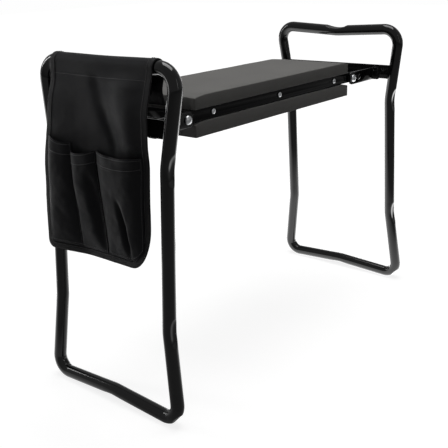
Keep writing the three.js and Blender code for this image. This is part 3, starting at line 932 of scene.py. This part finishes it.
noise.seed_set(3)          # vector noise starts from the clock unless it is seeded
buildPad("seat_pad", "seat_foam_pad", 1.0)
buildPad("kneeling_pad", "kneeling_foam_pad", 5.0)
print("pads cut")


# Tool pouch: one long strip folded over the hand bar, edges bound with tape, three pockets outside

pouch = {"near": -93.5, "far": 97, "thick": 1.5, "pocketThick": 1.3, "barGap": 10.9, "flap": 46,
         "bottom": 220.4, "nearCorner": (34, 62), "farCorner": (12, 12), "pinch": 1.5, "stand": 6.0,
         "flare": 12.0, "fold": 8.5, "ripple": 1.2}
overBar = math.pi * pouch["barGap"]
flapEnd = -(overBar + pouch["flap"])


# the cloth bridges the dip in the bar almost straight
def barHeight(y):
    return leg["run"] - leg["handDip"] * 0.25 - 1.0 * bell(y, 60)


def bottomDepth(y):
    lowest = barHeight(y) - (pouch["bottom"] - leg["footHeight"] - 0.8) / math.cos(leg["splay"])
    corners = ((-1, -pouch["near"], pouch["nearCorner"]), (1, pouch["far"], pouch["farCorner"]))
    for sign, edge, (wide, tall) in corners:
        into = (sign * y - (edge - wide)) / wide
        if into > 0:
            lowest -= tall * (1 - math.sqrt(max(1 - into * into, 0)))
    return lowest


# how far the outer cloth stands out of the leg's plane, depth being measured down from the bar
def clothOut(y, depth):
    z = barHeight(y) - depth + leg["footHeight"]
    out = pouch["barGap"] - pouch["pinch"] * bell(depth - 27, 14) * smoothStep(4, 12, depth)
    free = smoothStep(14, 60, depth)
    crease = -2.5 - 37.5 * smoothStep(0, 1.15, (475 - z) / 100)
    right = (crease - y) / (crease - pouch["near"])
    below = smoothStep(3, 28, depth) * (1 - 0.9 * smoothStep(92, 125, depth))
    lift = smoothStep(-0.04, 0.46, right) - 0.55 * smoothStep(0.5, 1.0, right)
    out += pouch["fold"] * below * (lift - 0.3 * bell(right + 0.14, 0.12))
    out += pouch["stand"] * smoothStep(3, 60, depth)
    out += pouch["flare"] * smoothStep(15, 97, y) * smoothStep(30, 150, depth)
    out += pouch["ripple"] * free * ripple(y, z, 52, 2.0) + 0.3 * free * ripple(y, z, 17, 6.0)
    return out


# depth below zero runs over the bar and down the inner flap
def clothPoint(y, depth):
    gap = pouch["barGap"]
    bar = barHeight(y)
    if depth >= 0:
        return legPoint(-1, y, bar - depth, clothOut(y, depth))
    if depth > -overBar:
        angle = -depth / gap
        return legPoint(-1, y, bar + gap * math.sin(angle), gap * math.cos(angle))
    hang = -depth - overBar
    out = -gap + 4.6 * bell(hang - 27, 14) * smoothStep(4, 12, hang) - 1.4 * smoothStep(30, 46, hang)
    return legPoint(-1, y, bar - hang, out + 0.5 * ripple(y, hang, 30, 9.0) * smoothStep(8, 20, hang))


def clothNormal(y, depth):
    step = 0.6
    across = clothPoint(y + step, depth) - clothPoint(y - step, depth)
    down = clothPoint(y, depth + step) - clothPoint(y, depth - step)
    return across.cross(down).normalized()


clothSide = 1 if clothNormal(0, 150).x > 0 else -1


def onCloth(y, depth, lift):
    return clothPoint(y, depth) - clothNormal(y, depth) * lift * mm * clothSide


def acrossStations():
    start, finish = pouch["near"], pouch["far"]
    wide, narrow = pouch["nearCorner"][0], pouch["farCorner"][0]
    left = [start + wide * (1 - math.cos(k * math.pi / 36)) for k in range(19)]
    right = [finish - narrow * (1 - math.cos(k * math.pi / 20)) for k in range(11)]
    step = (finish - start - wide - narrow) / 62
    middle = [start + wide + k * step for k in range(1, 62)]
    return left + middle + right[::-1]


def solidSheet(obj, thick):
    wall = obj.modifiers.new("cloth thickness", "SOLIDIFY")
    wall.thickness = thick * mm
    wall.offset = 0
    applyModifiers(obj)
    return turnOutwards(obj)


def buildPanel():
    columns = acrossStations()
    level = 60                 # rows are level down to here, then follow the rounded bottom
    upper = [flapEnd + k * (level - flapEnd) / 76 for k in range(77)]
    verts = [clothPoint(y, depth) for depth in upper for y in columns]
    rows = 92
    for k in range(1, rows + 1):
        verts += [clothPoint(y, level + (bottomDepth(y) - level) * k / rows) for y in columns]
    obj = newObject("pouch_panel_cloth", verts, gridFaces(len(upper) + rows, len(columns)))
    solidSheet(obj, pouch["thick"])
    sharpen(obj, 60)
    paint(obj, cloth)
    return settle(obj, "left_leg", ["pouch_panel"])


# the cloth's edge, from one end of the inner flap down round the bottom and back up
def edgeLine():
    near, far = pouch["near"], pouch["far"]
    low, high = bottomDepth(near), bottomDepth(far)
    line = [(near, flapEnd + k * (low - flapEnd) / 150) for k in range(150)]
    line += [(y, bottomDepth(y)) for y in acrossStations()]
    line += [(far, high + k * (flapEnd - high) / 150) for k in range(1, 151)]
    return line


def edgeInward(line, k):
    ahead, behind = line[min(k + 2, len(line) - 1)], line[max(k - 2, 0)]
    along = Vector((ahead[0] - behind[0], ahead[1] - behind[1])).normalized()
    return Vector((along.y, -along.x))


# profile pairs: inwards from the cloth's edge, outwards from its middle
def buildBinding():
    profile = [(9.0, 0.8), (8.8, 1.1), (4.5, 1.25), (1.0, 1.25), (-0.5, 0.95), (-0.9, 0.0),
               (-0.5, -0.95), (1.0, -1.3), (4.5, -1.3), (7.6, -1.2), (7.8, -0.8), (4.0, -0.78),
               (0.5, -0.75), (0.2, 0.0), (0.5, 0.75), (4.0, 0.78)]
    line = edgeLine()
    verts = []
    for k, (y, depth) in enumerate(line):
        inward = edgeInward(line, k)
        for into, rise in profile:
            lift = rise + (0.12 * ripple(y, depth, 6, 4.0) if rise > 0 else 0)
            verts.append(onCloth(y + inward.x * into, depth + inward.y * into, lift))
    count = len(profile)
    faces = gridFaces(len(line), count, closeColumns=True)
    last = (len(line) - 1) * count
    faces += [tuple(range(count)), tuple(last + j for j in reversed(range(count)))]
    obj = turnOutwards(newObject("pouch_edge_tape", verts, faces))
    sharpen(obj, 50)
    paint(obj, tape)
    return settle(obj, "left_leg", ["pouch_binding"])


# pocket seams lean across the panel; each pocket bulges between two of them
pockets = {
    "small": {"top": (48.5, 88.5), "foot": (34.0, 87.5), "mouth": (373, 380), "bulge": 6.5,
              "folds": ()},
    "middle": {"top": (2.5, 47.0), "foot": (-16.5, 32.5), "mouth": (368, 362), "bulge": 12.0,
               "folds": ((0.3, 0.34, 0.16, 5.5, 0.1, 1.0),)},
    "large": {"top": (-85.5, 0.5), "foot": (-83.0, -19.0), "mouth": (368, 368), "bulge": 12.0,
              "folds": ((0.52, 0.3, 0.055, 7.0, 0.35, 0.95),)},
}
pocketFoot = 229.8
pocketTall = 140
pocketHem = 17.5


def pocketShape(kind):
    facts = pockets[kind]
    (topNear, topFar), (footNear, footFar) = facts["top"], facts["foot"]
    mouthNear, mouthFar = facts["mouth"]

    def place(a, b):
        slope = smoothStep(0, 1, b) * 0.35 + b * 0.65
        near = topNear + (footNear - topNear) * slope
        far = topFar + (footFar - topFar) * slope
        y = near + (far - near) * a
        mouth = mouthNear + (mouthFar - mouthNear) * a - 3.5 * math.sin(math.pi * a)
        foot = pocketFoot
        if kind == "large":
            into = max((-y - 60) / 31, 0)
            foot += 52 * (1 - math.sqrt(max(1 - min(into, 0.95) ** 2, 0)))
        z = mouth + (foot - mouth) * b
        across = (1 - abs(2 * a - 1) ** 2.6) ** 0.62
        downward = (1 - b ** 3.2) ** 0.7 * (0.85 + 0.15 * math.sin(math.pi * min(b * 1.5, 1)))
        lift = 1.7 + facts["bulge"] * across * downward
        for centre, slant, wide, deep, start, end in facts["folds"]:
            gap = a - (centre - slant * (b - start))
            fade = smoothStep(start, start + 0.25, b) * (1 - 0.4 * smoothStep(end - 0.1, end, b))
            lift -= min(deep, lift - 1.9) * bell(gap, wide) * fade
        hem = 1 - smoothStep(pocketHem - 0.5, pocketHem + 0.5, b * (mouth - foot))
        wave = across * (0.9 * ripple(y, z, 24, 3.0) + 0.35 * ripple(y, z, 9, 8.0))
        lift = max(lift + 0.55 * hem + wave * smoothStep(0, 0.1, b), 1.6)
        depth = barHeight(y) - (z - leg["footHeight"]) / math.cos(leg["splay"])
        return y, depth, lift

    return place


def surface(place, a, b, extra=0.0):
    y, depth, lift = place(a, b)
    return legPoint(-1, y, barHeight(y) - depth, clothOut(y, depth) + lift + extra)


def lengthOf(points):
    return sum((after - before).length for before, after in zip(points, points[1:]))


def buildPocket(kind):
    place = pocketShape(kind)
    count = 60 if kind == "large" else 40
    crossSteps = [0.5 - 0.5 * math.cos(math.pi * j / count) for j in range(count + 1)]
    crossSteps = [0.6 * c + 0.4 * j / count for j, c in enumerate(crossSteps)]
    downSteps = [k / 96 for k in range(97)]
    verts = [surface(place, a, b) for b in downSteps for a in crossSteps]
    obj = newObject(f"pouch_pocket_{kind}_cloth", verts, gridFaces(len(downSteps), len(crossSteps)))
    solidSheet(obj, pouch["pocketThick"])
    sharpen(obj, 60)
    paint(obj, cloth)
    settle(obj, "left_leg", [f"pouch_pocket_{kind}"])
    # the flat size isn't a cut size settled beforehand: it is measured on the shaped pocket
    wide = lengthOf([surface(place, j / 40, 0.4) for j in range(41)])
    tall = lengthOf([surface(place, 0.5, j / 40) for j in range(41)])
    return obj, (round(wide, 3), round(tall, 3)), place


# short touch fastener strips that close the sleeve under the bar
def buildStrip(name, node, onFlap):
    columns = range(-60, 61, 2)
    rows = range(17, 38)
    depths = [-(overBar + row) if onFlap else row for row in rows]
    verts = [onCloth(y, depth, -1.3) for depth in depths for y in columns]
    obj = newObject(name, verts, gridFaces(len(rows), len(columns)))
    solidSheet(obj, 1.0)
    sharpen(obj, 50)
    paint(obj, tape)
    return settle(obj, "left_leg", [node])


panel = buildPanel()
binding = buildBinding()
hookStrip = buildStrip("pouch_hook_strip", "pouch_hook_tape", True)
loopStrip = buildStrip("pouch_loop_strip", "pouch_loop_tape", False)
made = {kind: buildPocket(kind) for kind in pockets}
print("pouch sewn")


# Stitches: rows along the binding, the sleeve seam, the pocket hems and the pocket seams

def stitchPaths():
    line = edgeLine()
    alongTape = []
    for k, (y, depth) in enumerate(line):
        inward = edgeInward(line, k)
        alongTape.append(onCloth(y + inward.x * 7.6, depth + inward.y * 7.6, 1.5))
    underBar = [onCloth(-84 + 2 * k, 15.5, 0.9) for k in range(87)]
    paths = [alongTape, underBar]
    for _, _, place in made.values():
        for b in ((pocketHem - 2.0) / pocketTall, 2.5 / pocketTall):
            paths.append([surface(place, 0.03 + 0.94 * j / 50, b, 0.75) for j in range(51)])
        for a in (0.012, 0.988):
            paths.append([surface(place, a, 0.01 + 0.97 * j / 60, 0.8) for j in range(61)])
        paths.append([surface(place, 0.02 + 0.96 * j / 50, 0.975, 0.8) for j in range(51)])
    return paths


oneStitch = capsule("stitch_template", 2.5 * mm, 0.3 * mm, 6)
stitches = rowAlong("pouch_stitches", stitchPaths(), oneStitch, thread, spacing=0.0034, size=1.0,
                    change=0.06, seed=5)
settle(stitches, "left_leg")
